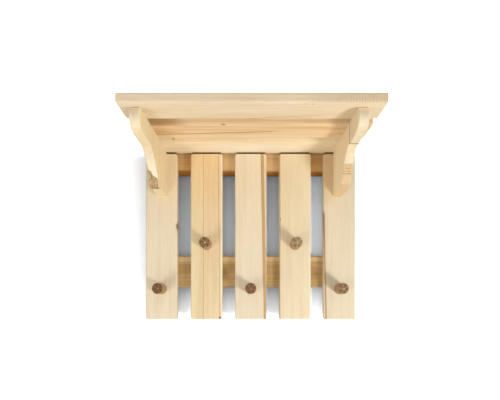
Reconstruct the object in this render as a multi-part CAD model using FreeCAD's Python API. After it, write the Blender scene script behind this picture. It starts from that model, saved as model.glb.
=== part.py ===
# A wooden wall coat rack with a slatted shelf, in millimetres.
#
# X runs to the right as one faces the rack, Y runs into the wall and Z runs up.
# The wall is the plane Y = 0, so the whole rack lies at negative Y.
# The origin is in the wall plane, midway between the round entries of the two keyhole plates.
import FreeCAD, Part
import math
import os

from FreeCAD import Placement, Rotation, Vector

# Boards: slats, rails and shelf planks are planed from one stock
board_width = 60.0
board_thickness = 15.0
edge_radius = 2.5

# Slats: their tops stop just short of the shelf, so a dark line shows between the two
slat_count = 5
slat_gap = 24.0
slat_length = 315.5
slat_corner_radius = 5.0
shelf_clearance = 2.0
first_slat_shift = -1.5

# Rails: the bottom one's height above the foot of the slats, and how far the top one hangs
# down below the shelf
bottom_rail_rise = 61.5
top_rail_drop = 39.0
rail_end_inset = 1.5
wane_width_left = 12.0
wane_width_right = 3.0
wane_depth = 5.0

# Shelf planks, with their shift to the right of the rack's middle
plank_end_inset = 2.5
plank_gap = 24.0
plank_overlap_on_slats = 9.0
plank_overhang = 16.0
plank_shifts = {"rear": 0.8, "middle": 1.9, "front": 2.3}

# Brackets: a drop is measured down from the shelf
bracket_thickness = 16.0
bracket_drop = 85.0
bracket_edge_radius = 2.0
arm_drop = 33.5
foot_reach = 74.0
foot_height = 5.0
cove_width = 61.0

# The bull nose, measured from the front end of the bracket's top
nose_bulge = 6.5
nose_bulge_drop = 15.0
nose_tuck = 3.0
nose_tuck_rise = 4.5
nose_depth = 25.0

# The left bracket's cove is one sweep, and the right one's is two that meet at a small beak
left_cove_depth = 9.0
beak_before_foot = 29.0
beak_below_arm = 18.5
right_upper_cove_depth = 5.0
right_lower_cove_depth = 3.5

# The brackets stand a little inside the middles of their slats, and the right one's front end
# is glued on
left_bracket_inset = 1.5
right_bracket_inset = 3.4
block_length = 58.5
glue_line_easing = 0.8

# Pegs, turned with a tenon that is glued into a blind hole in the slat
peg_diameter = 20.0
peg_reach = 39.0
peg_rim_radius = 1.5
tenon_diameter = 14.0
tenon_floor = 3.5
tenon_end_gap = 0.5
low_peg_height = 57.5
high_peg_height = 141.5

# Countersunk screws: a bite is the length that holds in the second piece
rail_screw_diameter = 3.5
rail_screw_bite = 10.0
bracket_screw_diameter = 4.0
bracket_screw_bite = 35.0
shelf_screw_diameter = 3.5
shelf_screw_bite = 20.0
hanger_screw_diameter = 3.0
hanger_screw_bite = 9.0
head_per_shank = 2.0
screw_tip_length = 4.0
screw_slip = 0.25
rail_screw_offset = 15.0
rail_screw_edge_distance = 14.0
bracket_screw_rise = 13.0
bracket_screw_spacing = 20.0
shelf_screw_shares = (0.25, 0.75)

# Keyhole plates let into the back of the top rail
hanger_width = 16.0
hanger_end_length = 16.5
hanger_thickness = 1.5
hanger_corner_radius = 3.0
entry_diameter = 9.5
slot_width = 5.0
slot_rise = 9.0
hanger_screw_end_distance = 5.5
head_pocket_clearance = 1.0
head_pocket_depth = 5.5

# Places worked out from the sizes above, first across the rack, with a keyhole plate behind
# the middle of each outer gap
slat_pitch = board_width + slat_gap
rack_width = slat_count * board_width + (slat_count - 1) * slat_gap
rail_length = rack_width - 2 * rail_end_inset
plank_length = rack_width - 2 * plank_end_inset
outer_slat_x = (slat_count - 1) / 2 * slat_pitch
hanger_x = outer_slat_x - slat_pitch / 2

# From the wall outwards
rail_front_y = -board_thickness
slat_front_y = rail_front_y - board_thickness
plank_count = len(plank_shifts)
shelf_reach = plank_count * board_width + (plank_count - 1) * plank_gap - plank_overlap_on_slats
bracket_top_length = shelf_reach - plank_overhang
cove_start_reach = foot_reach + cove_width

# Upwards: the foot of the slats lies below the origin by the height of the keyhole entries
shelf_rise = slat_length + shelf_clearance
top_rail_rise = shelf_rise - top_rail_drop
top_rail_height = top_rail_drop + board_thickness
hanger_middle_rise = top_rail_rise + top_rail_height / 2
entry_rise = hanger_middle_rise - slot_rise / 2
foot_z = -entry_rise
shelf_underside_z = foot_z + shelf_rise
hanger_middle_z = foot_z + hanger_middle_rise

# Lengths that follow from what they pass through or hold
rail_screw_length = board_thickness + rail_screw_bite
bracket_screw_length = board_thickness + bracket_screw_bite
shelf_screw_length = board_thickness + shelf_screw_bite
hanger_screw_length = hanger_thickness + hanger_screw_bite
tenon_bore_depth = board_thickness - tenon_floor
tenon_length = tenon_bore_depth - tenon_end_gap
hanger_length = slot_rise + 2 * hanger_end_length
head_pocket_width = entry_diameter + 2 * head_pocket_clearance

# Edges are found by their places, within this distance
same_place = 0.001

ACROSS = Vector(1, 0, 0)
TO_WALL = Vector(0, 1, 0)
FROM_WALL = Vector(0, -1, 0)
UP = Vector(0, 0, 1)
DOWN = Vector(0, 0, -1)


def eased_board(low_x, low_y, low_z, size_x, size_y, size_z):
    """A plain board with all of its edges rounded over."""
    blank = Part.makeBox(size_x, size_y, size_z, Vector(low_x, low_y, low_z))
    return blank.makeFillet(edge_radius, blank.Edges)


def turned(outline, axis_point, axis):
    """Turn a closed outline of (radius, height) points into a solid that stands along axis."""
    points = [Vector(radius, 0, height) for radius, height in outline]
    face = Part.Face(Part.makePolygon(points + points[:1]))
    solid = face.revolve(Vector(0, 0, 0), UP, 360)
    solid.Placement = Placement(axis_point, Rotation(UP, axis))
    return solid


def screw(kind, place, slip=0.0, slip_length=0.0):
    """A countersunk wood screw, or with a slip the hole that lets its shank pass the first piece."""
    diameter, length = kind
    head_centre, direction = place
    shank_radius = diameter / 2
    head_radius = shank_radius * head_per_shank
    neck_radius = shank_radius + slip
    outline = [(0, 0), (head_radius, 0), (neck_radius, head_radius - neck_radius)]
    if slip_length:
        outline += [(neck_radius, slip_length), (shank_radius, slip_length)]
    outline += [(shank_radius, length - screw_tip_length), (0, length)]
    return turned(outline, head_centre, direction)


def pass_screws(piece, kind, places, thickness):
    """Cut holes that let the screws' shanks pass through a piece of this thickness."""
    for place in places:
        piece = piece.cut(screw(kind, place, screw_slip, thickness))
    return piece


def hold_screws(piece, kind, places):
    """Cut the screws' own shapes out of the piece that they bite into."""
    for place in places:
        piece = piece.cut(screw(kind, place))
    return piece


def slat_x(index):
    """The middle of a slat. The first one stands a little off the even spacing."""
    even_x = (index - (slat_count - 1) / 2) * slat_pitch
    return even_x + first_slat_shift if index == 0 else even_x


def peg_height(index):
    """Pegs stand low on the first, third and fifth slats, and high on the others."""
    return low_peg_height if index % 2 == 0 else high_peg_height


def rail_screw_places(crossing_bottom_rise, crossing_top_rise):
    """Two screws on a diagonal at each crossing of a rail and a slat, driven from the wall side."""
    low_z = foot_z + crossing_bottom_rise + rail_screw_edge_distance
    high_z = foot_z + crossing_top_rise - rail_screw_edge_distance
    places = []
    for index in range(slat_count):
        places.append((Vector(slat_x(index) - rail_screw_offset, 0, low_z), FROM_WALL))
        places.append((Vector(slat_x(index) + rail_screw_offset, 0, high_z), FROM_WALL))
    return places


def bracket_screw_places(bracket_x):
    """Two screws one above the other, driven through the slat from its back."""
    low_z = shelf_underside_z - bracket_drop + bracket_screw_rise
    return [
        (Vector(bracket_x, rail_front_y, z), FROM_WALL) for z in (low_z, low_z + bracket_screw_spacing)
    ]


def plank_rear_y(row):
    """Rows count from the rear plank, which is 0, to the front plank, which is 2."""
    return slat_front_y + plank_overlap_on_slats - row * (board_width + plank_gap)


def shelf_screw_places(row, bracket_x):
    """Two screws spaced over the length where a plank bears on a bracket, driven from above."""
    bearing_rear_y = min(plank_rear_y(row), slat_front_y)
    bearing_front_y = max(plank_rear_y(row) - board_width, slat_front_y - bracket_top_length)
    bearing = bearing_rear_y - bearing_front_y
    places = []
    for share in shelf_screw_shares:
        y = bearing_rear_y - share * bearing
        places.append((Vector(bracket_x, y, shelf_underside_z + board_thickness), DOWN))
    return places


def hanger_screw_places(plate_x):
    reach = hanger_length / 2 - hanger_screw_end_distance
    return [(Vector(plate_x, 0, hanger_middle_z + side * reach), FROM_WALL) for side in (-1, 1)]


def is_slat_top_corner(edge):
    """True for an edge that runs into the wall at the top of a slat."""
    ends = [vertex.Point for vertex in edge.Vertexes]
    into_wall = abs(ends[0].y - ends[-1].y) > same_place
    return into_wall and ends[0].z > foot_z + slat_length / 2


def make_slat(index):
    """One upright board, round-shouldered, bored for its peg and for the screws from behind."""
    x = slat_x(index)
    low_corner = Vector(x - board_width / 2, slat_front_y, foot_z)
    blank = Part.makeBox(board_width, board_thickness, slat_length, low_corner)
    shoulders = [edge for edge in blank.Edges if is_slat_top_corner(edge)]
    blank = blank.makeFillet(slat_corner_radius, shoulders)
    slat = blank.makeFillet(
        edge_radius, [edge for edge in blank.Edges if not is_slat_top_corner(edge)]
    )
    bore_start = Vector(x, slat_front_y, foot_z + peg_height(index))
    slat = slat.cut(Part.makeCylinder(tenon_diameter / 2, tenon_bore_depth, bore_start, TO_WALL))
    slat = hold_screws(slat, rail_screw, all_rail_screws)
    return pass_screws(slat, bracket_screw, all_bracket_screws, board_thickness)


def make_rail(rise, height, screws):
    """A board across the back of the slats."""
    rail = eased_board(
        -rail_length / 2, rail_front_y, foot_z + rise, rail_length, board_thickness, height
    )
    return pass_screws(rail, rail_screw, screws, board_thickness)


def wane():
    """The sliver missing along the top rail's lower front edge, where the bark once was.

    It narrows to the right and would run out at a point beyond the rail's end.
    """
    run_out = rail_length * wane_width_left / (wane_width_left - wane_width_right)
    corner = Vector(-rail_length / 2, rail_front_y, foot_z + top_rail_rise)
    on_front = corner + UP * wane_width_left
    on_underside = corner + TO_WALL * wane_depth
    far_end = corner + ACROSS * run_out
    sides = [
        (corner, on_front, on_underside),
        (corner, on_front, far_end),
        (corner, on_underside, far_end),
        (on_front, on_underside, far_end),
    ]
    faces = [Part.Face(Part.makePolygon([a, b, c, a])) for a, b, c in sides]
    return Part.Solid(Part.Shell(faces))


def keyhole(depth, entry_radius, half_slot, plate_x):
    """A round entry with a slot above it, both cut inwards from the wall plane."""
    entry = Vector(plate_x, 0, 0)
    slot_end = entry + UP * slot_rise
    round_entry = Part.makeCylinder(entry_radius, depth, entry, FROM_WALL)
    round_end = Part.makeCylinder(half_slot, depth, slot_end, FROM_WALL)
    slot_corner = Vector(plate_x - half_slot, -depth, 0)
    slot = Part.makeBox(2 * half_slot, depth, slot_rise, slot_corner)
    return round_entry.fuse(round_end).fuse(slot).removeSplitter()


def hanger_blank(plate_x):
    """The plate's outline, which is also the shape of its recess in the rail."""
    corner = Vector(
        plate_x - hanger_width / 2, -hanger_thickness, hanger_middle_z - hanger_length / 2
    )
    blank = Part.makeBox(hanger_width, hanger_thickness, hanger_length, corner)
    through = [edge for edge in blank.Edges if edge.tangentAt(0).cross(TO_WALL).Length < same_place]
    return blank.makeFillet(hanger_corner_radius, through)


def make_hanger_plate(plate_x):
    plate = hanger_blank(plate_x)
    plate = plate.cut(keyhole(hanger_thickness, entry_diameter / 2, slot_width / 2, plate_x))
    return pass_screws(plate, hanger_screw, hanger_screw_places(plate_x), hanger_thickness)


def make_top_rail():
    """The upper rail, recessed for the keyhole plates and for the heads of the wall screws."""
    rail = make_rail(top_rail_rise, top_rail_height, top_rail_screws)
    rail = rail.cut(wane())
    pocket_depth = hanger_thickness + head_pocket_depth
    half_pocket = head_pocket_width / 2
    for plate_x in hanger_xs:
        rail = rail.cut(hanger_blank(plate_x))
        rail = rail.cut(keyhole(pocket_depth, half_pocket, half_pocket, plate_x))
    return hold_screws(rail, hanger_screw, all_hanger_screws)


def make_plank(row, shift):
    """A shelf plank, drilled where it crosses the brackets."""
    rear_y = plank_rear_y(row)
    plank = eased_board(
        shift - plank_length / 2,
        rear_y - board_width,
        shelf_underside_z,
        plank_length,
        board_width,
        board_thickness,
    )
    places = [place for x in bracket_xs for place in shelf_screw_places(row, x)]
    return pass_screws(plank, shelf_screw, places, board_thickness)


def bracket_point(x, reach, drop):
    return Vector(x, slat_front_y - reach, shelf_underside_z - drop)


def cove(start, end, depth):
    """An arc from start to end that bites into the wood behind the straight line between them."""
    chord = end - start
    into_wood = Vector(0, -chord.z, chord.y).normalize()
    return Part.Arc(start, start + chord * 0.5 + into_wood * depth, end).toShape()


def bracket_outline(x, coves):
    """The scroll outline: a bull nose, a level arm, then the coves down to the foot.

    Each cove is (reach of its end, drop of its end, depth).
    """

    def at(reach, drop):
        return bracket_point(x, reach, drop)

    def line(start, end):
        return Part.LineSegment(start, end).toShape()

    back_top = at(0, 0)
    front_top = at(bracket_top_length, 0)
    bulge = at(bracket_top_length + nose_bulge, nose_bulge_drop)
    tuck = at(bracket_top_length - nose_tuck, arm_drop - nose_tuck_rise)
    arm_front_reach = bracket_top_length - nose_depth
    arm_front = at(arm_front_reach, arm_drop)
    cove_start = at(cove_start_reach, arm_drop)
    foot_front = at(foot_reach, bracket_drop)
    foot_back = at(0, bracket_drop)

    # The round under the nose runs level into the arm
    round_run = nose_depth - nose_tuck
    round_radius = (round_run**2 + nose_tuck_rise**2) / (2 * nose_tuck_rise)
    half_turn = math.asin(round_run / round_radius) / 2
    under_nose = at(
        arm_front_reach + round_radius * math.sin(half_turn),
        arm_drop - round_radius * (1 - math.cos(half_turn)),
    )
    edges = [
        line(back_top, front_top),
        Part.Arc(front_top, bulge, tuck).toShape(),
        Part.Arc(tuck, under_nose, arm_front).toShape(),
        line(arm_front, cove_start),
    ]
    start = cove_start
    for end_reach, end_drop, depth in coves:
        end = at(end_reach, end_drop)
        edges.append(cove(start, end, depth))
        start = end
    edges += [line(start, foot_front), line(foot_front, foot_back), line(foot_back, back_top)]
    return Part.Wire(edges)


def make_bracket(bracket_x, coves):
    """A board sawn to the scroll outline, with the arrises of its curved edge eased."""
    left_x = bracket_x - bracket_thickness / 2
    blank = Part.Face(bracket_outline(left_x, coves)).extrude(ACROSS * bracket_thickness)
    eased = [edge for edge in blank.Edges if is_bracket_arris(edge)]
    bracket = blank.makeFillet(bracket_edge_radius, eased)
    bracket = hold_screws(bracket, bracket_screw, bracket_screw_places(bracket_x))
    for row in range(plank_count):
        bracket = hold_screws(bracket, shelf_screw, shelf_screw_places(row, bracket_x))
    return bracket


def is_bracket_arris(edge):
    """True for an edge of either face, apart from those along the shelf and along the slat."""
    ends = [vertex.Point for vertex in edge.Vertexes]
    on_one_face = abs(ends[0].x - ends[-1].x) < same_place
    along_shelf = all(abs(end.z - shelf_underside_z) < same_place for end in ends)
    along_slat = all(abs(end.y - slat_front_y) < same_place for end in ends)
    return on_one_face and not along_shelf and not along_slat


def split_bracket(bracket, bracket_x):
    """Part the bracket at its glue line and ease the edges of that joint, which show as a line."""
    glue_y = slat_front_y - bracket_top_length + block_length
    wide = 2 * bracket_thickness
    front_corner = Vector(
        bracket_x - wide / 2, glue_y - 2 * block_length, shelf_underside_z - bracket_drop
    )
    front_part = Part.makeBox(wide, 2 * block_length, bracket_drop, front_corner)
    block = eased_joint(bracket.common(front_part), glue_y)
    board = eased_joint(bracket.cut(front_part), glue_y)
    return board, block


def eased_joint(piece, joint_y):
    """Bevel the edges round a joint across the bracket, apart from the one along the shelf."""
    bevelled = []
    for edge in piece.Edges:
        ends = [vertex.Point for vertex in edge.Vertexes]
        round_joint = all(abs(end.y - joint_y) < same_place for end in ends)
        along_shelf = all(abs(end.z - shelf_underside_z) < same_place for end in ends)
        if round_joint and not along_shelf:
            bevelled.append(edge)
    return piece.makeChamfer(glue_line_easing, bevelled)


def make_peg(index):
    """A round peg with a rounded rim, a flat shoulder on the slat and a tenon inside it."""
    peg_radius = peg_diameter / 2
    shoulder = Vector(slat_x(index), slat_front_y, foot_z + peg_height(index))
    body = Part.makeCylinder(peg_radius, peg_reach, shoulder, FROM_WALL)
    rim = [
        edge
        for edge in body.Edges
        if edge.Closed and abs(edge.CenterOfMass.y - (slat_front_y - peg_reach)) < same_place
    ]
    body = body.makeFillet(peg_rim_radius, rim)
    tenon = Part.makeCylinder(tenon_diameter / 2, tenon_length, shoulder, TO_WALL)
    return body.fuse(tenon).removeSplitter()


def save(shape, node):
    shape.exportStep("parts/" + node + ".step")


def save_screws(kind, places, node):
    """Identical screws are one node, each a solid of its own."""
    save(Part.makeCompound([screw(kind, place) for place in places]), node)


# Each kind of screw by its diameter and length
rail_screw = (rail_screw_diameter, rail_screw_length)
bracket_screw = (bracket_screw_diameter, bracket_screw_length)
shelf_screw = (shelf_screw_diameter, shelf_screw_length)
hanger_screw = (hanger_screw_diameter, hanger_screw_length)

# Screws and plates are placed before the pieces that they join
hanger_xs = (-hanger_x, hanger_x)
left_bracket_x = slat_x(0) + left_bracket_inset
right_bracket_x = slat_x(slat_count - 1) - right_bracket_inset
bracket_xs = (left_bracket_x, right_bracket_x)
bottom_rail_screws = rail_screw_places(bottom_rail_rise, bottom_rail_rise + board_width)
top_rail_screws = rail_screw_places(top_rail_rise, slat_length)
all_rail_screws = bottom_rail_screws + top_rail_screws
all_bracket_screws = [place for x in bracket_xs for place in bracket_screw_places(x)]
all_shelf_screws = [
    place
    for row in range(plank_count)
    for x in bracket_xs
    for place in shelf_screw_places(row, x)
]
all_hanger_screws = [place for x in hanger_xs for place in hanger_screw_places(x)]

os.makedirs("parts", exist_ok=True)
for slat_index in range(slat_count):
    number = str(slat_index + 1)
    save(make_slat(slat_index), "slat_" + number)
    save(make_peg(slat_index), "peg_" + number)
save(make_top_rail(), "top_rail")
save(make_rail(bottom_rail_rise, board_width, bottom_rail_screws), "bottom_rail")
for plank_row, (plank_name, plank_shift) in enumerate(plank_shifts.items()):
    save(make_plank(plank_row, plank_shift), "shelf_plank_" + plank_name)
foot_top_drop = bracket_drop - foot_height
left_coves = [(foot_reach, foot_top_drop, left_cove_depth)]
right_coves = [
    (foot_reach + beak_before_foot, arm_drop + beak_below_arm, right_upper_cove_depth),
    (foot_reach, foot_top_drop, right_lower_cove_depth),
]
save(make_bracket(left_bracket_x, left_coves), "bracket_left")
right_bracket = make_bracket(right_bracket_x, right_coves)
right_board, right_block = split_bracket(right_bracket, right_bracket_x)
save(right_board, "bracket_right")
save(right_block, "bracket_right_block")
save(make_hanger_plate(hanger_xs[0]), "hanger_plate_left")
save(make_hanger_plate(hanger_xs[1]), "hanger_plate_right")
save_screws(rail_screw, all_rail_screws, "rail_screws")
save_screws(bracket_screw, all_bracket_screws, "bracket_screws")
save_screws(shelf_screw, all_shelf_screws, "shelf_screws")
save_screws(hanger_screw, all_hanger_screws, "hanger_screws")
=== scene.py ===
import bpy
import math
from dataclasses import dataclass

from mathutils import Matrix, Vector


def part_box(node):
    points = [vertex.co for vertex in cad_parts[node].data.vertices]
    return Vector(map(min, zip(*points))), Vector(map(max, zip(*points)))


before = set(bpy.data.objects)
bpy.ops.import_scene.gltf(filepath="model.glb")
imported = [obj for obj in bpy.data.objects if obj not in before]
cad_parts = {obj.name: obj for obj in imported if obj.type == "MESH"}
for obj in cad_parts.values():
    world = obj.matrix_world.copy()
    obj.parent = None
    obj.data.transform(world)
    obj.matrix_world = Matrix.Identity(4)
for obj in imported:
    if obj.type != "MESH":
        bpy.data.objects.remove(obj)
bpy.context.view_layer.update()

# The camera looks square at the wall. The picture's width, the focal length and the vanishing
# point's place, seen from the picture's middle, are in pixels
PICTURE_WIDTH = 500.0
FOCAL_LENGTH = 460.0
VANISHING_RIGHT = 2.2
VANISHING_DOWN = 100.0
SENSOR_WIDTH = 36.0
CAMERA_PLACE = (0.0027, -0.903, -0.2644)

# Stage, in metres. A pair of heights or places says where a change begins and where it ends
WALL_BEHIND = 0.0006
WALL_SIZE = 6.0
FLOOR_HEIGHT = -1.6
FLOOR_SIZE = 14.0

# Painted light keeps the wall white from a little above the shelf up, over the shelf's shadow
WALL_WHITE = 1.42
WALL_PAINTED_LIGHT_ABOVE = 5.0
ABOVE_HEIGHTS = (0.01, 0.055)

# At the left, painted shade lies close beside the rack, and painted light further out
SIDE_HEIGHTS = (-0.27, -0.2)
LEFT_PART_ENDS = (0.05, 0.15)
SIDE_SHADE_PLACES = (-0.25, -0.205)
SIDE_LIGHT = (1.15, 1.15, 1.15, 1.0)
SIDE_SHADE = (0.84, 0.87, 0.91, 1.0)

# Behind the slats the wall has painted shade, most of all just under the shelf and least at the
# right, and between the slats' feet painted light makes it light again
BEHIND_SLATS_HALF_WIDTHS = (0.15, 0.18)
BEHIND_SLATS_TOP = 0.0
BEHIND_SLATS_FADE = (-0.295, -0.235)
BEHIND_SLATS_PAINTED_SHADE = (0.71, 0.82, 0.99, 1.0)
UNDER_SHELF_HEIGHTS = (-0.13, -0.02)
UNDER_SHELF_PAINTED_SHADE = (0.66, 0.7, 0.76, 1.0)
RIGHT_GAP_PLACES = (0.07, 0.12)
RIGHT_GAP_LIGHT = 1.66
LOW_WALL_PAINTED_LIGHT = (1.66, 1.8, 2.02, 1.0)
LOW_RIGHT_LIGHT = 1.35

# The floor as it is seen, and as it lights the rack
FLOOR_WHITE = 2.4
FLOOR_LIT = 0.9

# Light from the room in front, from higher up and from behind the wall. A turn says between
# which parts of the direction one gives way to the other
ROOM_LIGHT = 0.33
ROOM_LIGHT_ABOVE = 0.56
LIGHT_BEHIND = 0.15
TURN_UP = (-0.2, 0.5)
TURN_BEHIND = (-0.3, 0.3)

# From here on lengths inside the materials are in millimetres
MM_PER_METRE = 1000.0

# Marks on the brackets: the glue line, the bark on the left foot and the sawn right foot
GLUE_LINE_HALF_WIDTH = 1.7
GLUE_STRENGTH = 0.9
GLUE_COLOUR = (74, 52, 28)
BARK_LEFT = -176.0
BARK_TOP = -40.0
BARK_SLANT = 1.2
BARK_BACK = -88.0
BARK_BACK_FADE = 4.0
BARK_RAGGED = 8.0
BARK_EDGE = (0.0, 1.0)
BARK_RIM_OUTSIDE = (-0.8, 0.4)
BARK_RIM_INSIDE = (0.4, 2.0)
BARK_CRACK_STEP = (0.44, 0.52)
BARK_PALE = (206, 174, 124)
BARK_DARK = (136, 104, 62)
BARK_RIM = (104, 76, 44)
FOOT_TOP = -35.0
FOOT_TOP_FADE = 1.5
FOOT_TONE = (0.86, 0.72, 0.58, 1.0)
# Painted light: the brackets' upper sides are paler than their faces
BRACKET_TOP_PAINTED_LIGHT = (250, 240, 222)

# Painted shade in the crevice over the slats, and how far inside a slat's sides and front it begins
CREVICE_PAINTED_SHADE = (62, 28, 8)
CREVICE_SHADE_STRENGTH = 0.95
CREVICE_SHADE_FROM_SIDE = (4.0, 1.0)
CREVICE_SHADE_FROM_FRONT = (2.2, 3.4)

# Which way a surface faces. Each pair holds the two values of its normal's X, Y, Z or end part
# between which the surface comes to count or ceases to count
SIDEWAYS = (0.5, 0.8)
TO_THE_ROOM = (-0.5, -0.1)
STEEPLY_TO_THE_ROOM = (-0.7, -0.4)
DOWNWARDS = (-0.3, -0.1)
ON_TOP = (0.2, 0.6)
TO_THE_END = (0.75, 0.97)
ARRIS_OFF_FRONT = (-0.98, -0.8)
ARRIS_OFF_UNDERSIDE = (-0.6, -0.3)
ARRIS_BELOW = (-0.2, 0.0)
TOP_ARRIS_UP = (0.25, 0.45)
TOP_ARRIS_TO_ROOM = (-0.3, -0.15)
PEG_END = (0.45, 0.8)

# Tones multiply a colour. Their heights and places are counted from the piece's middle
UNSTAINED_END = (0.95, 0.9, 0.84, 1.0)
# Painted shade on a plank's eased edge below its front
ARRIS_PAINTED_SHADE = (0.9, 0.9, 0.9, 1.0)
# Painted shade on the slats towards their feet
SLAT_LOW_PAINTED_SHADE = (0.93, 0.94, 0.95, 1.0)
SLAT_LOW_HEIGHTS = (-150.0, 60.0)
WARM_TONE = (1.0, 0.86, 0.68, 1.0)
WARM_HEIGHTS = (-20.0, 150.0)
DARK_END_PLACES = (70.0, 130.0)
DARK_END_SHARES = (1.0, 1.7, 2.4)
RIPPLE_TONE = (0.45, 0.32, 0.2, 1.0)
DARKER = 0.72

# Year rings: each year turns to late wood and ends at these shares of its width. A knot bends
# them out by this many times its half width, within this many times its size
LATE_WOOD_STARTS = (0.35, 0.9)
LATE_WOOD_ENDS = (0.93, 1.0)
YEARS_UNEVEN = 1.6
KNOT_BEND = 2.2
KNOT_BEND_REACH = 3.5

# Slow changes of tone and fine fibres: the noise's step, then how strongly it shows
PALE_STEP = (0.35, 0.7)
PALE_STRENGTH = 0.3
PALE_LIFT = 12
PALEST = 252
WARM_STEP = (0.45, 0.75)
WARM_STRENGTH = 0.4
FIBRE_STEP = (0.3, 0.7)
FIBRE_TONES = (0.95, 1.03)
PORE_STEP = (0.35, 0.65)
PORE_SHARES = (0.55, 1.0)

# Knots, measured in their own size, and streaks, whose two places across are this far apart
KNOT_HALO = (0.9, 2.6)
KNOT_HALO_STRENGTH = 0.35
KNOT_BODY = (0.75, 1.1)
KNOT_RINGS = 2.6
KNOT_RAGGED = 0.25
STREAK_SPAN = 300.0
STREAK_WOBBLE = 0.8

# Ripples: the part of each wave that shows, the noise that breaks the lines, and their fade
RIPPLE_CREST = (0.1, 0.9)
RIPPLE_BREAKS = (0.3, 0.6)
RIPPLE_FADE = 2.0

# The surface of bare wood
WOOD_SHINE = 0.3
WOOD_ROUGHNESS = (0.52, 0.68)
ROUGHNESS_STEP = (0.3, 0.7)
RING_RELIEF = 0.5
FIBRE_RELIEF = 0.7
WOOD_BUMP = 0.35
WOOD_BUMP_DEPTH = 0.09

# Pegs: the side, then the star of checks round the heart, which lies a little off the middle
PEG_PALE = (198, 164, 120)
PEG_DARK = (150, 116, 76)
PEG_HEART_PLACE = (1.0, -0.6)
PEG_RING = 1.9
PEG_WANDER = 0.5
CHECKS_IN_STAR = 5.0
STAR_RADIUS = 1.7
STAR_POINTS = 0.5
HEART_STEP = (0.6, 1.4)
HEART_STRENGTH = 0.9
CHECK_SHADE = 0.16
RING_SHADE = 0.12
GRIME_SHADE = 0.7
MIDDLE_SHADE = 0.5
SHADE_STEP = (0.15, 0.85)
HEART_IN_PALER = 0.4
PEG_FIBRE_RELIEF = 0.4
PEG_BUMP = 0.5
PEG_BUMP_DEPTH = 0.15
PEG_ROUGHNESS = 0.72
PEG_SHINE = 0.25

# Zinc-plated steel: the scales of its noise, per metre, and its colours
BRUSHED_SCALE = (900.0, 900.0, 90.0)
CLOUDY_SCALE = (120.0, 120.0, 120.0)
BRUSHED_DETAIL = 3.0
ZINC_DARK = (186, 188, 190)
ZINC_PALE = (214, 212, 204)
ZINC_ROUGHNESS = (0.3, 0.45)
ZINC_BUMP = 0.15
ZINC_BUMP_DEPTH = 0.03


@dataclass
class Noise:
    """Noise along the grain: its own number, its patches' width and length, and its detail."""

    number: int
    wide: float
    long: float
    detail: float = 2.0


WANDER_ACROSS = Noise(1, 60.0, 240.0)
WANDER_THROUGH = Noise(2, 60.0, 240.0)
UNEVEN_YEARS = Noise(3, 14.0, 300.0)
PALE_PATCHES = Noise(4, 26.0, 190.0)
WARM_PATCHES = Noise(5, 16.0, 240.0)
FIBRES = Noise(6, 0.7, 26.0, 3.0)
PORES = Noise(7, 0.8, 8.0, 3.0)
ROUGH_PATCHES = Noise(8, 9.0, 60.0)
STREAK_BENDS = Noise(11, 40.0, 55.0)
KNOT_EDGE = Noise(12, 3.0, 4.0, 3.0)
RIPPLE_GAPS = Noise(13, 4.0, 4.0)
BARK_OUTLINE = Noise(14, 7.0, 7.0, 4.0)
BARK_CRACKS = Noise(15, 2.2, 3.4, 4.0)
RIPPLE_SHAKE = Noise(16, 9.0, 9.0)
PEG_WANDER_ACROSS = Noise(1, 9.0, 36.0)
PEG_WANDER_THROUGH = Noise(2, 9.0, 36.0)
PEG_FIBRES = Noise(6, 0.7, 22.0, 3.0)
PEG_GRIME = Noise(9, 1.6, 5.0, 4.0)

# A noise is moved by its piece's seed and by its own number, so that no two look the same
SEED_STEP = 7.3
NUMBER_STEP = 31.7
SHIFT_SHARES = (1.0, 0.37, 0.61)


@dataclass
class Knot:
    """A branch's end: its middle across and along the board, and its half width and length.

    One with a depth shows only round that place through the board.
    """

    across: float
    along: float
    half_width: float
    half_length: float
    colour: tuple
    depth: float | None = None


@dataclass
class Streak:
    """A coloured line or band along the grain, from low to high along the board.

    across_low and across_high are its places at the two ends of the streaks' span.
    """

    across_low: float
    across_high: float
    half_width: float
    colour: tuple
    strength: float
    low: float = -1000.0
    high: float = 1000.0
    softness: float = 0.35
    fade: float = 12.0


@dataclass
class Ripples:
    """Fine marks that a tool left across a front, between two places along one axis."""

    axis: str
    low: float
    high: float
    period: float
    strength: float
    shake: float = 0.0


@dataclass
class Cut:
    """How a piece was sawn from its tree. Lengths are in millimetres from the piece's middle.

    axes names the world axes that run across the piece, through it and along its grain. early
    and late are the wood's two colours, pith is the place of the tree's heart, and ring is a
    year's width. contrast says how strongly the rings show, and wander how far they stray.
    warm_top and dark_ends say how much warmer the top is and how much darker the ends are.
    """

    axes: str
    early: tuple
    late: tuple
    pith: tuple
    ring: float
    seed: float
    contrast: float = 0.12
    wander: float = 7.0
    warm_top: float = 0.0
    dark_ends: float = 0.0
    end_grain: tuple = (0.74, 0.62, 0.48, 1.0)
    # Painted light and shade: a tone for the faces toward the room
    painted_front_light: tuple = (1.0, 1.0, 1.0, 1.0)
    knots: tuple = ()
    streaks: tuple = ()
    ripples: tuple = ()


@dataclass
class Lamp:
    """A soft square lamp: its direction and distance from the rack's middle, width and power."""

    direction: tuple
    distance: float
    width: float
    power: float


RACK_MIDDLE = Vector((0.0, -0.06, -0.14))
LAMPS = {
    "key_lamp": Lamp((1.0, -1.0, -0.78), 0.92, 0.17, 4.45),
    "fill_lamp": Lamp((-1.15, -1.0, -0.9), 0.75, 0.26, 1.6),
    "light_from_below": Lamp((0.0, -1.0, -0.6), 1.1, 1.2, 2.6),
    "light_off_the_wall": Lamp((0.0, 1.0, -0.3), 1.0, 1.6, 1.0),
}

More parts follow.
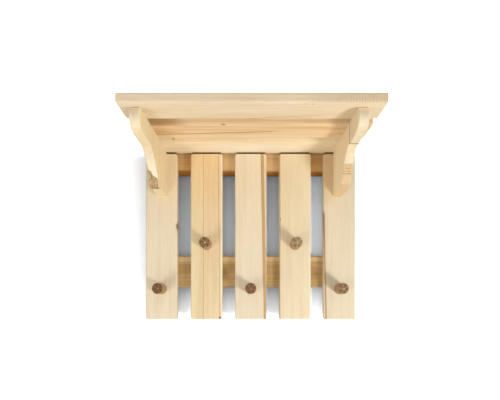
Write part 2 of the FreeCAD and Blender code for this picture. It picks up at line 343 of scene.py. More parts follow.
# Slats, with their colours in early and late wood, the pith's place and the rings' width
SLAT_AXES = "XYZ"
SLATS = {
    "slat_1": Cut(
        SLAT_AXES, (233, 216, 184), (221, 196, 153), pith=(-70.0, 40.0), ring=6.5, seed=1.0,
        warm_top=0.2,
        knots=(Knot(30.0, 19.0, 2.2, 5.0, (190, 150, 96)),),
    ),
    "slat_2": Cut(
        SLAT_AXES, (234, 211, 167), (214, 179, 129), pith=(-8.0, 34.0), ring=7.5, seed=2.0,
        warm_top=0.42,
        knots=(Knot(25.5, -154.5, 1.6, 1.6, (120, 84, 46)),),
        streaks=(
            Streak(-6.0, -5.5, 0.5, (196, 152, 98), 0.8),
            Streak(24.8, 22.8, 0.5, (168, 124, 72), 0.7),
            # A painted highlight along the right arris
            Streak(28.8, 28.8, 1.3, (252, 240, 212), 0.7),
            Streak(3.0, 2.0, 0.5, (205, 168, 120), 0.5, high=-20.0),
        ),
    ),
    "slat_3": Cut(
        SLAT_AXES, (233, 216, 185), (222, 198, 158), pith=(80.0, 45.0), ring=8.0, seed=3.0,
        streaks=(
            Streak(27.6, 21.9, 2.8, (194, 156, 102), 0.95, softness=0.4),
            Streak(25.1, 19.6, 0.6, (180, 136, 76), 0.7),
        ),
    ),
    "slat_4": Cut(
        SLAT_AXES, (232, 214, 178), (219, 188, 142), pith=(10.0, 30.0), ring=7.0, seed=4.0,
        contrast=0.2,
        knots=(Knot(-27.6, 32.0, 0.9, 1.1, (90, 56, 28)),),
        streaks=(
            # A painted shade along the left arris, and a painted highlight along the right arris
            Streak(-28.6, -28.6, 0.9, (186, 146, 96), 0.8),
            Streak(28.8, 28.8, 1.3, (252, 240, 212), 0.6),
        ),
    ),
    "slat_5": Cut(
        SLAT_AXES, (226, 209, 178), (215, 192, 152), pith=(65.0, 50.0), ring=7.0, seed=5.0,
        streaks=(
            # Painted shade: a warm, darker patch at the top left, in the right bracket's shadow
            Streak(-20.0, -20.0, 12.0, (206, 170, 114), 0.45, low=100.0, fade=50.0),
            Streak(-25.4, -31.0, 1.4, (160, 120, 74), 0.85, high=40.0),
        ),
    ),
}

# Rails, the top one with a dark band along its lower edge, partly wane and partly painted shade
RAIL_AXES = "ZYX"
RAILS = {
    "top_rail": Cut(
        RAIL_AXES, (219, 186, 134), (190, 146, 93), pith=(-20.0, 60.0), ring=6.0, seed=6.0,
        contrast=0.45,
        dark_ends=0.14,
        # Partly wane and partly painted shade along the lower edge
        streaks=(Streak(-24.0, -27.0, 5.4, (146, 92, 8), 1.0, softness=0.5),),
    ),
    "bottom_rail": Cut(
        RAIL_AXES, (190, 156, 101), (162, 124, 71), pith=(6.0, 22.0), ring=5.5, seed=7.0,
        contrast=0.55,
        # Painted light: a paler band along the upper edge
        streaks=(Streak(24.0, 24.0, 4.5, (222, 192, 146), 0.6),),
    ),
}

# Planks, the front one with saw marks at its right end
PLANK_AXES = "YZX"
PLANKS = {
    "shelf_plank_front": Cut(
        PLANK_AXES, (234, 213, 178), (218, 185, 139), pith=(14.0, 55.0), ring=6.0, seed=8.0,
        contrast=0.22,
        painted_front_light=(1.08, 1.08, 1.09, 1.0),
        knots=(
            Knot(-24.7, 78.0, 0.8, 2.4, (190, 158, 116)),
            Knot(-24.7, 87.5, 0.9, 2.0, (190, 158, 116)),
            Knot(28.0, 89.0, 1.0, 1.1, (110, 76, 44)),
        ),
        streaks=(
            Streak(44.0, 10.3, 0.9, (198, 152, 100), 0.8, low=-8.0, high=96.0),
            Streak(-30.0, -30.0, 3.0, (204, 180, 144), 0.5, low=118.0, fade=60.0),
        ),
        ripples=(Ripples("X", 122.0, 197.0, 4.0, 0.3, 0.8),),
    ),
    "shelf_plank_middle": Cut(
        PLANK_AXES, (238, 207, 160), (208, 164, 112), pith=(-4.0, 24.0), ring=7.0, seed=9.0,
        contrast=0.5,
        wander=12.0,
        painted_front_light=(1.02, 0.99, 0.97, 1.0),
        end_grain=UNSTAINED_END,
        knots=(Knot(-29.5, -45.4, 1.1, 3.0, (180, 140, 92), -7.0),),
        streaks=(
            Streak(22.0, 22.0, 8.0, (248, 218, 174), 0.6, softness=0.7),
            Streak(2.0, 2.0, 13.0, (196, 150, 94), 0.55, high=-150.0, softness=0.8, fade=60.0),
            Streak(-30.0, -30.0, 3.4, (172, 130, 78), 0.75, high=-134.0, softness=0.7, fade=40.0),
            Streak(13.3, -10.1, 1.9, (184, 138, 82), 0.8, low=-160.0, high=30.0),
            Streak(10.0, -6.0, 0.9, (196, 150, 98), 0.6, low=30.0, high=96.0),
        ),
    ),
    "shelf_plank_rear": Cut(
        PLANK_AXES, (250, 231, 198), (230, 198, 150), pith=(8.0, 40.0), ring=7.0, seed=10.0,
        contrast=0.3,
        painted_front_light=(1.06, 1.0, 0.86, 1.0),
        knots=(Knot(-30.0, -139.0, 1.0, 1.8, (160, 118, 70), -0.5),),
        streaks=(
            Streak(0.0, 0.0, 20.0, (255, 244, 220), 0.5, -40.0, 40.0, softness=0.7, fade=70.0),
        ),
    ),
}

# Brackets, the right one with saw marks below its beak
BRACKET_AXES = "YXZ"
BRACKETS = {
    "bracket_left": Cut(
        BRACKET_AXES, (247, 228, 188), (230, 198, 148), pith=(30.0, 50.0), ring=6.0, seed=11.0,
        contrast=0.15,
        painted_front_light=(0.97, 0.98, 1.04, 1.0),
        end_grain=UNSTAINED_END,
    ),
    "bracket_right": Cut(
        BRACKET_AXES, (250, 233, 196), (234, 205, 158), pith=(-40.0, 45.0), ring=6.0, seed=12.0,
        contrast=0.15,
        painted_front_light=(0.88, 0.87, 0.87, 1.0),
        end_grain=UNSTAINED_END,
        ripples=(Ripples("Z", -50.0, -36.0, 3.5, 1.0), Ripples("Z", -67.0, -49.0, 2.6, 0.3)),
    ),
    "bracket_right_block": Cut(
        BRACKET_AXES, (241, 224, 188), (218, 193, 149), pith=(30.0, 30.0), ring=5.0, seed=13.0,
        contrast=0.2,
        painted_front_light=(0.92, 0.92, 0.92, 1.0),
        end_grain=UNSTAINED_END,
    ),
}

# Pegs, with the colours of their end and of its heart
PEG_AXES = "XZY"
FIRST_PEG_SEED = 20.0
PEG_ENDS = {
    "peg_1": ((118, 82, 50), (150, 110, 74)),
    "peg_2": ((118, 88, 54), (206, 176, 128)),
    "peg_3": ((128, 92, 58), (150, 116, 78)),
    "peg_4": ((164, 136, 96), (196, 174, 130)),
    "peg_5": ((128, 96, 62), (196, 162, 124)),
}

STEEL_PIECES = (
    "hanger_plate_left",
    "hanger_plate_right",
    "rail_screws",
    "bracket_screws",
    "shelf_screws",
    "hanger_screws",
)


def srgb(red, green, blue):
    """A colour as a picture writes it, 0 to 255, turned into a shader's linear colour."""

    def linear(value):
        share = value / 255
        return share / 12.92 if share <= 0.04045 else ((share + 0.055) / 1.055) ** 2.4

    return (linear(red), linear(green), linear(blue), 1.0)


def darker(colour):
    return [DARKER * part for part in colour]


def grey(level):
    return (level, level, level, 1.0)


class Tree:
    """Builds the nodes of a material or world. Each method returns its node's output."""

    def __init__(self, owner):
        owner.use_nodes = True
        self.owner = owner
        self.nodes = owner.node_tree.nodes
        self.links = owner.node_tree.links
        self.shader = self.nodes.get("Principled BSDF")

    def plug(self, socket, value):
        if isinstance(value, bpy.types.NodeSocket):
            self.links.new(value, socket)
        else:
            socket.default_value = value

    def math(self, operation, *values):
        node = self.nodes.new("ShaderNodeMath")
        node.operation = operation
        for socket, value in zip(node.inputs, values):
            self.plug(socket, value)
        return node.outputs[0]

    def vector_math(self, operation, *values):
        node = self.nodes.new("ShaderNodeVectorMath")
        node.operation = operation
        for socket, value in zip(node.inputs, values):
            self.plug(socket, value)
        return node.outputs["Vector"]

    def combine(self, *values):
        node = self.nodes.new("ShaderNodeCombineXYZ")
        for socket, value in zip(node.inputs, values):
            self.plug(socket, value)
        return node.outputs[0]

    def separate(self, vector):
        node = self.nodes.new("ShaderNodeSeparateXYZ")
        self.plug(node.inputs[0], vector)
        return node.outputs

    def place(self):
        """The point on the object, in metres, which here is also its place in the world."""
        return self.nodes.new("ShaderNodeTexCoord").outputs["Object"]

    def facing(self):
        """The parts of the direction that the surface faces."""
        return self.separate(self.nodes.new("ShaderNodeNewGeometry").outputs["Normal"])

    def mix(self, share, first, second, mode="MIX"):
        node = self.nodes.new("ShaderNodeMix")
        node.data_type = "RGBA"
        node.blend_type = mode
        self.plug(node.inputs["Factor"], share)
        self.plug(node.inputs[6], first)
        self.plug(node.inputs[7], second)
        return node.outputs[2]

    def tint(self, share, colour, tone):
        """Multiply the colour by a tone, where the share is 1."""
        return self.mix(share, colour, tone, "MULTIPLY")

    def rise(self, value, low, high, to_low=0.0, to_high=1.0):
        """A smooth step from to_low at low to to_high at high."""
        node = self.nodes.new("ShaderNodeMapRange")
        node.interpolation_type = "SMOOTHSTEP"
        settings = (value, low, high, to_low, to_high)
        for socket, setting in zip(node.inputs, settings):
            self.plug(socket, setting)
        return node.outputs[0]

    def fall(self, value, low, high, strength=1.0):
        """A smooth step down from the strength at low to 0 at high."""
        return self.rise(value, low, high, strength, 0.0)

    def overlap(self, first, *others):
        """Masks multiplied: 1 only where all of them are 1."""
        for other in others:
            first = self.math("MULTIPLY", first, other)
        return first

    def away(self, value, middle):
        """How far the value is from the middle, on either side."""
        return self.math("ABSOLUTE", self.math("SUBTRACT", value, middle))

    def length(self, *parts):
        """The length of a vector with these parts."""
        squares = [self.math("POWER", part, 2.0) for part in parts]
        total = squares[0]
        for square in squares[1:]:
            total = self.math("ADD", total, square)
        return self.math("SQRT", total)

    def noise(self, point, detail=2.0):
        node = self.nodes.new("ShaderNodeTexNoise")
        self.plug(node.inputs["Vector"], point)
        node.inputs["Scale"].default_value = 1.0
        node.inputs["Detail"].default_value = detail
        return node.outputs["Fac"]

    def bump(self, height, strength, depth_mm):
        node = self.nodes.new("ShaderNodeBump")
        node.inputs["Strength"].default_value = strength
        node.inputs["Distance"].default_value = depth_mm / MM_PER_METRE
        self.plug(node.inputs["Height"], height)
        self.plug(self.shader.inputs["Normal"], node.outputs[0])


def new_material(name):
    return Tree(bpy.data.materials.new(name))


def in_millimetres(tree, place):
    return tree.separate(tree.vector_math("MULTIPLY", place, (MM_PER_METRE,) * 3))


def corners_in_millimetres(node_name):
    """The low and the high corner of a node's box."""
    return [Vector(corner) * MM_PER_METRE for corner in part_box(node_name)]


def grain_space(tree, node_name, axes):
    """The point in millimetres from the node's middle, as its across, through and along parts."""
    low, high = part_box(node_name)
    middle = [(a + b) / 2 for a, b in zip(low, high)]
    from_middle = in_millimetres(tree, tree.vector_math("SUBTRACT", tree.place(), middle))
    return [from_middle[axis] for axis in axes]


class Grain:
    """Noise and rings that follow the grain of one piece."""

    def __init__(self, tree, node_name, cut):
        self.tree = tree
        self.cut = cut
        self.across, self.through, self.along = grain_space(tree, node_name, cut.axes)
        self.point = tree.combine(self.across, self.through, self.along)
        self.world = in_millimetres(tree, tree.place())

    def patches(self, noise):
        """The noise, in patches of its size."""
        scale = (1 / noise.wide, 1 / noise.wide, 1 / noise.long)
        scaled = self.tree.vector_math("MULTIPLY", self.point, scale)
        shift = self.cut.seed * SEED_STEP + noise.number * NUMBER_STEP
        moved = self.tree.vector_math("ADD", scaled, [shift * share for share in SHIFT_SHARES])
        return self.tree.noise(moved, noise.detail)

    def swing(self, noise, amount, offset=0.0):
        """The noise as a push of up to this amount to either side, less the offset."""
        return self.tree.math("MULTIPLY_ADD", self.patches(noise), 2 * amount, -amount - offset)

    def knot_distance(self, knot):
        """0 at a knot's middle and 1 on its rim."""
        tree = self.tree
        wide = tree.math("SUBTRACT", self.across, knot.across)
        long = tree.math("SUBTRACT", self.along, knot.along)
        parts = [
            tree.math("DIVIDE", wide, knot.half_width),
            tree.math("DIVIDE", long, knot.half_length),
        ]
        if knot.depth is not None:
            deep = tree.math("SUBTRACT", self.through, knot.depth)
            parts.append(tree.math("DIVIDE", deep, knot.half_width))
        return tree.length(*parts)

    def rings(self):
        """0 in the early wood and 1 in the late wood's thin lines, bent round the knots."""
        tree = self.tree
        cut = self.cut
        pith_across, pith_through = cut.pith
        wide = tree.math("ADD", self.across, self.swing(WANDER_ACROSS, cut.wander, pith_across))
        deep = tree.math("ADD", self.through, self.swing(WANDER_THROUGH, cut.wander, pith_through))
        radius = tree.length(wide, deep)
        for knot in cut.knots:
            bend = KNOT_BEND * knot.half_width
            near = tree.fall(self.knot_distance(knot), 0.0, KNOT_BEND_REACH, bend)
            radius = tree.math("ADD", radius, near)
        count = tree.math("DIVIDE", radius, cut.ring)
        uneven = tree.math("MULTIPLY", self.patches(UNEVEN_YEARS), YEARS_UNEVEN)
        year = tree.math("FRACT", tree.math("ADD", count, uneven))
        return tree.overlap(tree.rise(year, *LATE_WOOD_STARTS), tree.fall(year, *LATE_WOOD_ENDS))


def paint_streak(grain, colour, streak):
    """Lay one streak over the colour."""
    tree = grain.tree
    slope = (streak.across_high - streak.across_low) / STREAK_SPAN
    middle = (streak.across_high + streak.across_low) / 2
    line = tree.math("MULTIPLY_ADD", grain.along, slope, middle)
    line = tree.math("ADD", line, grain.swing(STREAK_BENDS, STREAK_WOBBLE))
    inner = streak.half_width * (1 - streak.softness)
    outer = streak.half_width * (1 + streak.softness)
    mask = tree.overlap(
        tree.fall(tree.away(grain.across, line), inner, outer, streak.strength),
        tree.rise(grain.along, streak.low - streak.fade, streak.low),
        tree.fall(grain.along, streak.high, streak.high + streak.fade),
    )
    return tree.mix(mask, colour, srgb(*streak.colour))


def paint_ripples(grain, colour, ripples):
    """Darken thin parallel lines on the surfaces that face the room."""
    tree = grain.tree
    place = grain.world[ripples.axis]
    shake = ripples.period * ripples.shake
    shaken = tree.math("MULTIPLY_ADD", grain.patches(RIPPLE_SHAKE), shake, place)
    wave = tree.math("SINE", tree.math("MULTIPLY", shaken, 2 * math.pi / ripples.period))
    lines = tree.overlap(
        tree.rise(wave, *RIPPLE_CREST),
        tree.rise(grain.patches(RIPPLE_GAPS), *RIPPLE_BREAKS),
        tree.rise(place, ripples.low, ripples.low + RIPPLE_FADE),
        tree.fall(place, ripples.high - RIPPLE_FADE, ripples.high),
        tree.fall(tree.facing()["Y"], *STEEPLY_TO_THE_ROOM, ripples.strength),
    )
    return tree.tint(lines, colour, RIPPLE_TONE)


def paint_knot(grain, colour, knot):
    """Lay one knot over the colour: a soft halo, then rings of two tones inside it."""
    tree = grain.tree
    distance = tree.math("ADD", grain.knot_distance(knot), grain.swing(KNOT_EDGE, KNOT_RAGGED))
    halo = tree.fall(distance, *KNOT_HALO, KNOT_HALO_STRENGTH)
    blend = [(a + b) / 2 for a, b in zip(knot.colour, grain.cut.late)]
    colour = tree.mix(halo, colour, srgb(*blend))
    swirl = tree.math("FRACT", tree.math("MULTIPLY", distance, KNOT_RINGS))
    inner = tree.mix(swirl, srgb(*knot.colour), srgb(*darker(knot.colour)))
    return tree.mix(tree.fall(distance, *KNOT_BODY), colour, inner)


def paint_glue_line(grain, colour):
    """A thin dark line where the right bracket's block meets its board."""
    tree = grain.tree
    block_low, block_high = corners_in_millimetres("bracket_right_block")
    away = tree.away(grain.world["Y"], block_high.y)
    line = tree.fall(away, GLUE_LINE_HALF_WIDTH / 2, GLUE_LINE_HALF_WIDTH, GLUE_STRENGTH)
    return tree.mix(line, colour, srgb(*GLUE_COLOUR))


def not_sideways(tree):
    """1 on a bracket's edge and 0 on its two faces."""
    return tree.fall(tree.math("ABSOLUTE", tree.facing()["X"]), *SIDEWAYS)


def paint_foot(grain, colour):
    """The sawn front of the right bracket's foot is darker than the planed front above it."""
    tree = grain.tree
    below = tree.fall(grain.world["Z"], FOOT_TOP - FOOT_TOP_FADE, FOOT_TOP)
    return tree.tint(tree.overlap(not_sideways(tree), below), colour, FOOT_TONE)


def paint_bark(grain, colour):
    """Rough bark left on the front of the left bracket's foot."""
    tree = grain.tree
    across, towards_wall, up = grain.world
    from_left = tree.math("SUBTRACT", across, BARK_LEFT)
    slant = tree.math("MULTIPLY_ADD", from_left, -BARK_SLANT, BARK_TOP)
    ragged = grain.swing(BARK_OUTLINE, BARK_RAGGED)
    depth = tree.math("ADD", tree.math("SUBTRACT", slant, up), ragged)
    at_front = tree.fall(towards_wall, BARK_BACK - BARK_BACK_FADE, BARK_BACK)
    in_front = tree.overlap(not_sideways(tree), at_front)
    cracks = tree.fall(grain.patches(BARK_CRACKS), *BARK_CRACK_STEP)
    bark = tree.mix(cracks, srgb(*BARK_PALE), srgb(*BARK_DARK))
    colour = tree.mix(tree.overlap(tree.rise(depth, *BARK_EDGE), in_front), colour, bark)
    rim = tree.overlap(tree.rise(depth, *BARK_RIM_OUTSIDE), tree.fall(depth, *BARK_RIM_INSIDE))
    return tree.mix(tree.overlap(rim, in_front), colour, srgb(*BARK_RIM))


def shade_in_crevice(tree, share, colour):
    """Cover a share of the surface with painted shade, which also takes its shine."""
    shine = tree.math("MULTIPLY_ADD", share, -WOOD_SHINE, WOOD_SHINE)
    tree.plug(tree.shader.inputs["Specular IOR Level"], shine)
    return tree.mix(share, colour, srgb(*CREVICE_PAINTED_SHADE))


def paint_crevice(grain, colour):
    """Painted shade on the rear plank's underside, where it runs over the tops of the slats."""
    tree = grain.tree
    full_inset, no_inset = CREVICE_SHADE_FROM_SIDE
    over_slats = 0.0
    for slat in SLATS:
        low, high = corners_in_millimetres(slat)
        half_width = (high.x - low.x) / 2
        aside = tree.away(grain.world["X"], (low.x + high.x) / 2)
        over = tree.fall(aside, half_width - full_inset, half_width - no_inset, CREVICE_SHADE_STRENGTH)
        over_slats = tree.math("MAXIMUM", over_slats, over)
    front_places = [low.y + inset for inset in CREVICE_SHADE_FROM_FRONT]
    hidden = tree.overlap(
        over_slats,
        tree.rise(grain.world["Y"], *front_places),
        tree.fall(tree.facing()["Z"], *DOWNWARDS),
    )
    return shade_in_crevice(tree, hidden, colour)


def paint_lower_arris(grain, colour):
    """Painted shade: a plank's eased edge below its front is a little darker."""
    tree = grain.tree
    facing = tree.facing()
    arris = tree.overlap(
        tree.rise(facing["Y"], *ARRIS_OFF_FRONT),
        tree.fall(facing["Y"], *ARRIS_OFF_UNDERSIDE),
        tree.fall(facing["Z"], *ARRIS_BELOW),
    )
    return tree.tint(arris, colour, ARRIS_PAINTED_SHADE)


def paint_bracket_top(grain, colour):
    """Painted light makes a bracket's upper side paler than its faces."""
    tree = grain.tree
    return tree.mix(tree.rise(tree.facing()["Z"], *ON_TOP), colour, srgb(*BRACKET_TOP_PAINTED_LIGHT))


def paint_slat_low(grain, colour):
    """Painted shade: a slat is duller towards its foot."""
    tree = grain.tree
    return tree.tint(tree.fall(grain.along, *SLAT_LOW_HEIGHTS), colour, SLAT_LOW_PAINTED_SHADE)


def paint_slat_top(grain, colour):
    """Painted shade on the front arris of a slat's top, in the crevice under the shelf."""
    tree = grain.tree
    facing = tree.facing()
    arris = tree.overlap(
        tree.rise(facing["Z"], *TOP_ARRIS_UP),
        tree.fall(facing["Y"], *TOP_ARRIS_TO_ROOM),
    )
    return shade_in_crevice(tree, arris, colour)


def paint_tones(grain, rings, fibres):
    """The rings' two colours, slow changes to paler and warmer, and the fibres."""
    tree = grain.tree
    cut = grain.cut
    late = srgb(*cut.late)
    colour = tree.mix(tree.math("MULTIPLY", rings, cut.contrast), srgb(*cut.early), late)
    paler = [min(part + PALE_LIFT, PALEST) for part in cut.early]
    pale = tree.rise(grain.patches(PALE_PATCHES), *PALE_STEP, 0.0, PALE_STRENGTH)
    colour = tree.mix(pale, colour, srgb(*paler))
    warm = tree.rise(grain.patches(WARM_PATCHES), *WARM_STEP, 0.0, WARM_STRENGTH)
    colour = tree.mix(warm, colour, late)
    fibre_tone = tree.rise(fibres, *FIBRE_STEP, *FIBRE_TONES)
    colour = tree.tint(1.0, colour, tree.combine(fibre_tone, fibre_tone, fibre_tone))
    if cut.warm_top:
        height = tree.rise(grain.along, *WARM_HEIGHTS, 0.0, cut.warm_top)
        colour = tree.tint(height, colour, WARM_TONE)
    if cut.dark_ends:
        end_tone = [1 - share * cut.dark_ends for share in DARK_END_SHARES] + [1.0]
        near_end = tree.rise(tree.math("ABSOLUTE", grain.along), *DARK_END_PLACES)
        colour = tree.tint(near_end, colour, end_tone)
    return colour


def paint_ends_and_front(grain, colour):
    """End grain drinks in light, with its fibres as pores; a front's tone is painted light and
    shade.
    """
    tree = grain.tree
    cut = grain.cut
    facing = tree.facing()
    across, through, along = cut.axes
    pores = tree.rise(grain.patches(PORES), *PORE_STEP, *PORE_SHARES)
    towards_end = tree.rise(tree.math("ABSOLUTE", facing[along]), *TO_THE_END)
    colour = tree.tint(tree.overlap(towards_end, pores), colour, cut.end_grain)
    return tree.tint(tree.fall(facing["Y"], *TO_THE_ROOM), colour, cut.painted_front_light)


def bare_wood(node_name, cut, marks=(), finish=()):
    """Planed softwood: rings, fibres, slow changes of tone, streaks, ripples, knots and ends.

    marks and finish are functions that paint over the colour, before and after the ends.
    """
    tree = new_material(node_name + "_wood")
    tree.shader.inputs["Specular IOR Level"].default_value = WOOD_SHINE
    grain = Grain(tree, node_name, cut)
    rings = grain.rings()
    fibres = grain.patches(FIBRES)
    colour = paint_tones(grain, rings, fibres)
    for streak in cut.streaks:
        colour = paint_streak(grain, colour, streak)
    for ripples in cut.ripples:
        colour = paint_ripples(grain, colour, ripples)
    for knot in cut.knots:
        colour = paint_knot(grain, colour, knot)
    for paint in (*marks, paint_ends_and_front, *finish):
        colour = paint(grain, colour)
    tree.plug(tree.shader.inputs["Base Color"], colour)

    ring_relief = tree.math("MULTIPLY", rings, RING_RELIEF)
    fibre_relief = tree.math("MULTIPLY", fibres, FIBRE_RELIEF)
    tree.bump(tree.math("ADD", ring_relief, fibre_relief), WOOD_BUMP, WOOD_BUMP_DEPTH)
    rough = tree.rise(grain.patches(ROUGH_PATCHES), *ROUGHNESS_STEP, *WOOD_ROUGHNESS)
    tree.plug(tree.shader.inputs["Roughness"], rough)
    return tree


def peg_wood(node_name, end_colour, heart_colour, seed):
    """A turned peg: pale along its side, with a dark, checked end round a paler heart."""
    cut = Cut(PEG_AXES, PEG_PALE, PEG_DARK, PEG_HEART_PLACE, PEG_RING, seed)
    tree = new_material(node_name + "_wood")
    grain = Grain(tree, node_name, cut)
    fibres = grain.patches(PEG_FIBRES)
    side = tree.mix(tree.rise(fibres, *FIBRE_STEP), srgb(*PEG_PALE), srgb(*PEG_DARK))

    # Checks run out from the heart like a star, and the rings cross them
    heart_across, heart_through = PEG_HEART_PLACE
    push_across = grain.swing(PEG_WANDER_ACROSS, PEG_WANDER, heart_across)
    push_through = grain.swing(PEG_WANDER_THROUGH, PEG_WANDER, heart_through)
    wide = tree.math("ADD", grain.across, push_across)
    deep = tree.math("ADD", grain.through, push_through)
    radius = tree.length(wide, deep)
    angle = tree.math("ARCTAN2", deep, wide)
    checks = tree.math("SINE", tree.math("MULTIPLY_ADD", angle, CHECKS_IN_STAR, seed))
    ring_wave = tree.math("SINE", tree.math("MULTIPLY", radius, 2 * math.pi / PEG_RING))
    shade = tree.math("MULTIPLY_ADD", checks, CHECK_SHADE, MIDDLE_SHADE)
    shade = tree.math("MULTIPLY_ADD", ring_wave, RING_SHADE, shade)
    shade = tree.math("ADD", shade, grain.swing(PEG_GRIME, GRIME_SHADE))
    end_share = 1 - HEART_IN_PALER
    paler = [end_share * a + HEART_IN_PALER * b for a, b in zip(end_colour, heart_colour)]
    end = tree.mix(tree.rise(shade, *SHADE_STEP), srgb(*darker(end_colour)), srgb(*paler))
    star = tree.math("MULTIPLY_ADD", checks, STAR_POINTS, STAR_RADIUS)
    heart = tree.fall(tree.math("DIVIDE", radius, star), *HEART_STEP, HEART_STRENGTH)
    end = tree.mix(heart, end, srgb(*heart_colour))

    on_end = tree.rise(tree.math("MULTIPLY", tree.facing()["Y"], -1.0), *PEG_END)
    tree.plug(tree.shader.inputs["Base Color"], tree.mix(on_end, side, end))
    end_relief = tree.overlap(shade, on_end)
    fibre_relief = tree.math("MULTIPLY", fibres, PEG_FIBRE_RELIEF)
    tree.bump(tree.math("ADD", end_relief, fibre_relief), PEG_BUMP, PEG_BUMP_DEPTH)
    tree.shader.inputs["Roughness"].default_value = PEG_ROUGHNESS
    tree.shader.inputs["Specular IOR Level"].default_value = PEG_SHINE
    return tree


def zinc_steel():
    """Zinc-plated steel with a faint brushed grain."""
    tree = new_material("zinc_steel")
    place = tree.place()
    brushed = tree.noise(tree.vector_math("MULTIPLY", place, BRUSHED_SCALE), BRUSHED_DETAIL)
    cloudy = tree.noise(tree.vector_math("MULTIPLY", place, CLOUDY_SCALE))
    tree.plug(tree.shader.inputs["Base Color"], tree.mix(cloudy, srgb(*ZINC_DARK), srgb(*ZINC_PALE)))
    tree.shader.inputs["Metallic"].default_value = 1.0
    rough = tree.rise(brushed, *ROUGHNESS_STEP, *ZINC_ROUGHNESS)
    tree.plug(tree.shader.inputs["Roughness"], rough)
    tree.bump(brushed, ZINC_BUMP, ZINC_BUMP_DEPTH)
    return tree


def dress(node_name, tree):
    """Give a CAD node its material."""
    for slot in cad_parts[node_name].material_slots:
        slot.material = tree.owner


def dress_slats():
    for node_name, cut in SLATS.items():
        dress(node_name, bare_wood(node_name, cut, finish=(paint_slat_low, paint_slat_top)))


def dress_rails():
    for node_name, cut in RAILS.items():
        dress(node_name, bare_wood(node_name, cut))


def dress_planks():
    for node_name, cut in PLANKS.items():
        marks = (paint_crevice,) if node_name == "shelf_plank_rear" else ()
        dress(node_name, bare_wood(node_name, cut, marks, (paint_lower_arris,)))


def dress_brackets():
    marks = {
        "bracket_left": (paint_bark,),
        "bracket_right": (paint_glue_line, paint_foot),
        "bracket_right_block": (paint_glue_line,),
    }
    for node_name, cut in BRACKETS.items():
        dress(node_name, bare_wood(node_name, cut, marks[node_name], (paint_bracket_top,)))


def dress_pegs():
    for number, (node_name, (end_colour, heart_colour)) in enumerate(PEG_ENDS.items()):
        seed = FIRST_PEG_SEED + number
        dress(node_name, peg_wood(node_name, end_colour, heart_colour, seed))


def dress_steel():
    steel = zinc_steel()
    for node_name in STEEL_PIECES:
        dress(node_name, steel)


def add_square(name, size, place, rotation):
    """A flat square, such as the wall or the floor."""
    half = size / 2
    corners = [(-half, -half, 0), (half, -half, 0), (half, half, 0), (-half, half, 0)]
    mesh = bpy.data.meshes.new(name)
    mesh.from_pydata(corners, [], [(0, 1, 2, 3)])
    thing = bpy.data.objects.new(name, mesh)
    thing.location = place
    thing.rotation_euler = rotation
    bpy.context.scene.collection.objects.link(thing)
    return thing


def seen_directly(tree):
    """1 for a ray from the camera or off something shiny or clear, otherwise 0."""
    path = tree.nodes.new("ShaderNodeLightPath").outputs
    seen = tree.math("ADD", path["Is Camera Ray"], path["Is Glossy Ray"])
    seen = tree.math("ADD", seen, path["Is Transmission Ray"])
    return tree.math("MINIMUM", seen, 1.0)


def matt(tree, white):
    node = tree.nodes.new("ShaderNodeBsdfDiffuse")
    tree.plug(node.inputs["Color"], white)
    return node.outputs[0]


def show_mixed(tree, share, first, second):
    """Let the material show two shaders, the second one by this share."""
    node = tree.nodes.new("ShaderNodeMixShader")
    for socket, value in zip(node.inputs, (share, first, second)):
        tree.plug(socket, value)
    tree.links.new(node.outputs[0], tree.nodes["Material Output"].inputs["Surface"])


def open_wall_colour(tree, place):
    """The wall round the rack: painted light above the shelf, and painted shade at the left."""
    white = tree.rise(place["Z"], *ABOVE_HEIGHTS, WALL_WHITE, WALL_PAINTED_LIGHT_ABOVE)
    side = tree.mix(tree.rise(place["X"], *SIDE_SHADE_PLACES), SIDE_LIGHT, SIDE_SHADE)
    high_enough = tree.rise(place["Z"], *SIDE_HEIGHTS)
    at_left = tree.fall(place["X"], *LEFT_PART_ENDS)
    side = tree.mix(tree.overlap(high_enough, at_left), grey(1.0), side)
    return tree.tint(1.0, tree.combine(white, white, white), side)


def gap_colour(tree, place):
    """The wall in the gaps: painted shade between the slats and painted light between their feet."""
    at_right = tree.rise(place["X"], *RIGHT_GAP_PLACES)
    under_shelf = tree.rise(place["Z"], *UNDER_SHELF_HEIGHTS)
    dull = tree.tint(under_shelf, BEHIND_SLATS_PAINTED_SHADE, UNDER_SHELF_PAINTED_SHADE)
    dull = tree.tint(at_right, dull, grey(RIGHT_GAP_LIGHT))
    low = tree.tint(at_right, LOW_WALL_PAINTED_LIGHT, grey(LOW_RIGHT_LIGHT))
    return tree.mix(tree.rise(place["Z"], *BEHIND_SLATS_FADE), low, dull)


def add_wall():
    """A white wall with painted light and shade, which keeps the rack's shadow and is gone from
    behind.
    """
    wall = add_square("wall", WALL_SIZE, (0.0, WALL_BEHIND, 0.0), (math.pi / 2, 0.0, 0.0))
    tree = new_material("wall_white")
    place = tree.separate(tree.nodes.new("ShaderNodeNewGeometry").outputs["Position"])
    behind_slats = tree.fall(tree.math("ABSOLUTE", place["X"]), *BEHIND_SLATS_HALF_WIDTHS)
    under_shelf = tree.math("LESS_THAN", place["Z"], BEHIND_SLATS_TOP)
    in_gaps = tree.overlap(behind_slats, under_shelf)
    colour = tree.mix(in_gaps, open_wall_colour(tree, place), gap_colour(tree, place))
    from_behind = tree.nodes.new("ShaderNodeNewGeometry").outputs["Backfacing"]
    shown = tree.overlap(seen_directly(tree), tree.math("SUBTRACT", 1.0, from_behind))
    clear = tree.nodes.new("ShaderNodeBsdfTransparent").outputs[0]
    show_mixed(tree, shown, clear, matt(tree, colour))
    wall.data.materials.append(tree.owner)


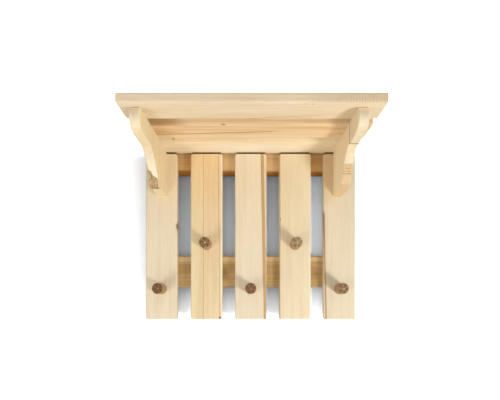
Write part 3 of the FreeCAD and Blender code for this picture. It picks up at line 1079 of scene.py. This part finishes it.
def add_floor():
    """A floor that shows white and lights the rack less than it shows."""
    floor = add_square("floor", FLOOR_SIZE, (0.0, 0.0, FLOOR_HEIGHT), (0.0, 0.0, 0.0))
    tree = new_material("floor_pale")
    lit = matt(tree, grey(FLOOR_LIT))
    show_mixed(tree, seen_directly(tree), lit, matt(tree, grey(FLOOR_WHITE)))
    floor.data.materials.append(tree.owner)


def add_world():
    """Even light from the room in front, less from behind the wall, and white where it shows."""
    world = bpy.data.worlds.new("world")
    bpy.context.scene.world = world
    tree = Tree(world)
    direction = tree.separate(tree.nodes.new("ShaderNodeTexCoord").outputs["Generated"])
    in_front = tree.rise(direction["Z"], *TURN_UP, ROOM_LIGHT, ROOM_LIGHT_ABOVE)
    room = tree.rise(direction["Y"], *TURN_BEHIND, in_front, LIGHT_BEHIND)
    sky = tree.nodes["Background"]
    tree.plug(sky.inputs["Color"], grey(1.0))
    tree.plug(sky.inputs["Strength"], tree.rise(seen_directly(tree), 0.0, 1.0, room, 1.0))


def add_lamp(name, lamp):
    """Hang a lamp so that it faces the rack's middle."""
    direction = Vector(lamp.direction).normalized()
    data = bpy.data.lights.new(name, "AREA")
    data.size = lamp.width
    data.energy = lamp.power
    light = bpy.data.objects.new(name, data)
    light.location = RACK_MIDDLE + lamp.distance * direction
    light.rotation_euler = direction.to_track_quat("Z", "Y").to_euler()
    bpy.context.scene.collection.objects.link(light)


def add_camera():
    data = bpy.data.cameras.new("camera")
    data.sensor_width = SENSOR_WIDTH
    data.lens = FOCAL_LENGTH / PICTURE_WIDTH * SENSOR_WIDTH
    data.shift_x = -VANISHING_RIGHT / PICTURE_WIDTH
    data.shift_y = VANISHING_DOWN / PICTURE_WIDTH
    camera = bpy.data.objects.new("camera", data)
    camera.location = CAMERA_PLACE
    camera.rotation_euler = (math.pi / 2, 0.0, 0.0)
    bpy.context.scene.collection.objects.link(camera)
    bpy.context.scene.camera = camera


dress_slats()
dress_rails()
dress_planks()
dress_brackets()
dress_pegs()
dress_steel()
add_camera()
add_wall()
add_floor()
add_world()
for lamp_name, lamp in LAMPS.items():
    add_lamp(lamp_name, lamp)
bpy.context.scene.view_settings.view_transform = "Standard"
